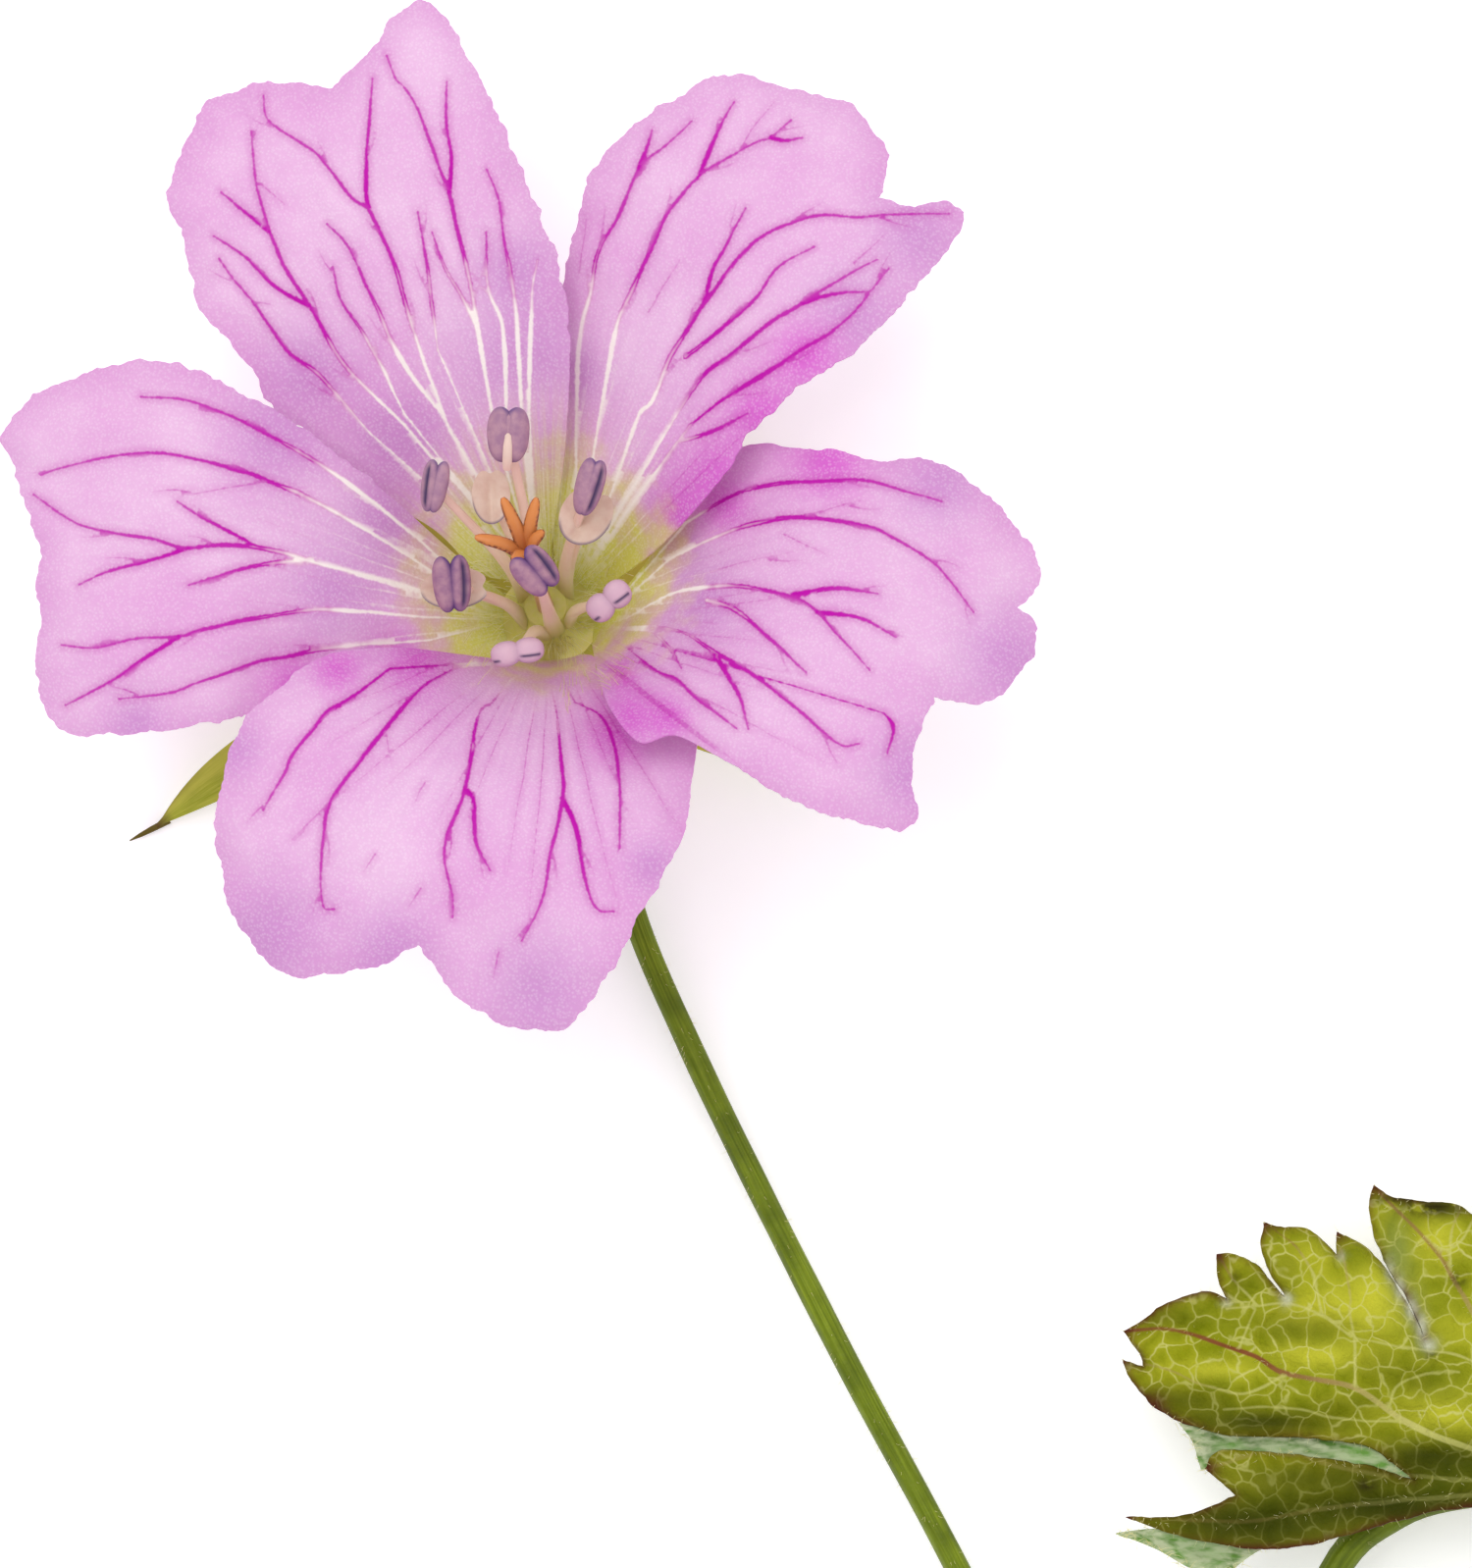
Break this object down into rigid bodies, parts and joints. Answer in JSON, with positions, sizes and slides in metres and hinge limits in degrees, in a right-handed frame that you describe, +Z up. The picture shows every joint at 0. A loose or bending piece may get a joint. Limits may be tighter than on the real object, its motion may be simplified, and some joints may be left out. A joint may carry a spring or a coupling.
{
  "type": "hardy geranium sprig",
  "caption": "Cut sprig of hardy geranium lying down: an open veined pink flower on a bent stalk, with a palmate toothed leaf from the same stem node.",
  "frame": {"origin": "middle of the sprig's box, on the surface that it lies on", "axes": "+Z up from the surface, +Y from the stalk's cut end towards the flower, +X towards the leaf"},
  "size_m": [0.073, 0.0808, 0.018],
  "materials": {
    "petal": "thin silky petal, pale pink with magenta veins",
    "sepal": "soft olive green sepal, finely hairy",
    "stamen": "matt mauve anthers on pale pink filaments",
    "pistil": "velvety orange stigma",
    "stem": "dark green stalk, finely hairy",
    "leaf": "matt yellow-green leaf with pale net veins and red-brown teeth"
  },
  "bodies": {
    "root": {"petal_upper_left": "petal", "petal_upper_right": "petal", "petal_right": "petal", "petal_lower": "petal", "petal_left": "petal", "calyx": "sepal", "stamens": "stamen", "pistil": "pistil", "stem": "stem", "leaf_blade": "leaf"}
  },
  "joints": []
}
